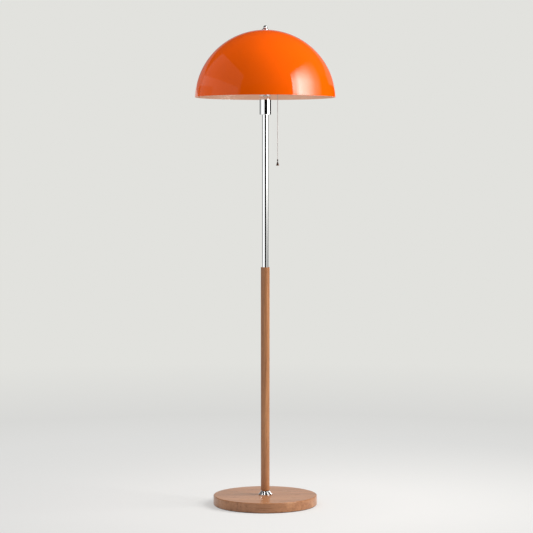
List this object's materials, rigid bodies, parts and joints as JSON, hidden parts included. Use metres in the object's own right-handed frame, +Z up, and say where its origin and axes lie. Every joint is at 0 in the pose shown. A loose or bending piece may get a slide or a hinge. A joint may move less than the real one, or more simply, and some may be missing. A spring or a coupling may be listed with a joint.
{
  "type": "floor lamp",
  "caption": "Floor lamp with a dome shade on a wire harp, pull-chain socket, chrome rod, wood pole and round weighted wood base.",
  "frame": {"origin": "on the floor under the middle of the base", "axes": "+Z up along the pole; +X towards the pull chain; +Y towards the cord outlet, the back"},
  "size_m": [0.446, 0.446, 1.524],
  "materials": {
    "base_wood": "semi-gloss lacquer over reddish brown timber, turned disc",
    "pole_wood": "satin lacquer over reddish brown timber, grain along the pole",
    "pad_felt": "dark felt",
    "cast_weight": "rough cast, black painted",
    "zinc_steel": "zinc plated",
    "black_plastic": "moulded, matt",
    "chrome_plate": "mirror chrome",
    "nickel_steel": "nickel plated wire and sheet",
    "orange_enamel": "high gloss orange outside, pale peach inside",
    "brass_shell": "bright brass sheet",
    "fibre_liner": "grey-brown insulating fibre",
    "moulded_black": "phenolic moulding",
    "bead_metal": "nickel plated beads",
    "dark_bronze": "dark bronzed, worn lighter at the mouth",
    "opal_glass": "opal white, frosted"
  },
  "bodies": {
    "lamp": {"base_pad": "pad_felt", "base_disc": "base_wood", "cord_bush": "black_plastic", "ballast_plate": "cast_weight", "ballast_screws": "zinc_steel", "base_washer": "zinc_steel", "base_nut": "zinc_steel", "base_collar": "chrome_plate", "tie_tube": "zinc_steel", "wood_pole": "pole_wood", "chrome_rod": "chrome_plate", "rod_plugs": "zinc_steel", "neck_nipple": "zinc_steel", "neck_cup": "chrome_plate", "neck_ring": "chrome_plate", "harp_saddle": "nickel_steel", "harp": "nickel_steel", "socket_cap": "chrome_plate", "socket_shell": "chrome_plate", "socket_liner": "fibre_liner", "socket_body": "moulded_black", "terminal_screws": "brass_shell", "screw_shell": "brass_shell", "centre_contact": "brass_shell", "lever_pin": "zinc_steel", "lever_spring": "zinc_steel", "contact_blade": "brass_shell", "chain_nozzle": "chrome_plate"},
    "harp_sleeve_back": {"sleeve_back": "nickel_steel"},
    "harp_sleeve_front": {"sleeve_front": "nickel_steel"},
    "shade": {"harp_stud": "chrome_plate", "shade_washer": "black_plastic", "shade_dome": "orange_enamel"},
    "finial_knob": {"finial": "chrome_plate"},
    "bulb": {"bulb_cap": "brass_shell", "bulb_globe": "opal_glass"},
    "lever": {"switch_lever": "moulded_black"},
    "wheel": {"ratchet_wheel": "moulded_black"},
    "lead": {"chain_lead": "bead_metal"},
    "corner_bead": {"chain_bead_corner": "bead_metal"},
    "top_bead": {"chain_bead_top": "bead_metal"},
    "second_bead": {"chain_bead_second": "bead_metal"},
    "chain": {"pull_chain": "bead_metal", "chain_connector": "dark_bronze"},
    "bell": {"pull_bell": "dark_bronze"}
  },
  "joints": [
    {"name": "chain_pull", "type": "slide", "parent": "lamp", "child": "top_bead", "axis": [0, 0, -1], "range_m": [0, 0.007], "stiffness_N_per_m": 400, "springref_m": -0.005},
    {"name": "chain_swing_side", "type": "hinge", "parent": "top_bead", "child": "second_bead", "pos_m": [0.0393, 0, 1.3256], "axis": [0, 1, 0], "range_deg": [-60, 4]},
    {"name": "chain_swing_front", "type": "hinge", "parent": "second_bead", "child": "chain", "pos_m": [0.0393, 0, 1.3221], "axis": [1, 0, 0], "range_deg": [-60, 60]},
    {"name": "bell_swing", "type": "hinge", "parent": "chain", "child": "bell", "pos_m": [0.0393, 0, 1.09585], "axis": [0, 1, 0], "range_deg": [-30, 30]},
    {"name": "corner_bead_turn", "type": "hinge", "parent": "lamp", "child": "corner_bead", "pos_m": [0.0358, 0, 1.3221], "axis": [0, 1, 0], "range_deg": [0, 90], "stiffness_Nm_per_rad": 0.000001},
    {"name": "lead_slide", "type": "slide", "parent": "lamp", "child": "lead", "axis": [1, 0, 0], "range_m": [0, 0.007]},
    {"name": "lever_swing", "type": "hinge", "parent": "lamp", "child": "lever", "pos_m": [0.00255, 0, 1.31735], "axis": [0, 1, 0], "range_deg": [0, 46]},
    {"name": "wheel_index", "type": "hinge", "parent": "lamp", "child": "wheel", "pos_m": [0.00255, 0, 1.31735], "axis": [0, 1, 0], "continuous": true},
    {"name": "shade_swivel", "type": "hinge", "parent": "lamp", "child": "shade", "pos_m": [0, 0, 1.5033], "axis": [0, 0, 1], "continuous": true},
    {"name": "finial_turn", "type": "hinge", "parent": "shade", "child": "finial_knob", "pos_m": [0, 0, 1.5095], "axis": [0, 0, 1], "continuous": true},
    {"name": "bulb_turn", "type": "hinge", "parent": "lamp", "child": "bulb", "pos_m": [0, 0, 1.38], "axis": [0, 0, 1], "continuous": true},
    {"name": "sleeve_back_lift", "type": "slide", "parent": "lamp", "child": "harp_sleeve_back", "axis": [0, 0, 1], "range_m": [0, 0.012]},
    {"name": "sleeve_front_lift", "type": "slide", "parent": "lamp", "child": "harp_sleeve_front", "axis": [0, 0, 1], "range_m": [0, 0.012]}
  ],
  "couplings": [
    {"joint": "corner_bead_turn", "follows": "chain_pull", "rad_per_m": 224.39},
    {"joint": "lead_slide", "follows": "chain_pull", "ratio": 1},
    {"joint": "lever_swing", "follows": "chain_pull", "rad_per_m": 114.69}
  ]
}
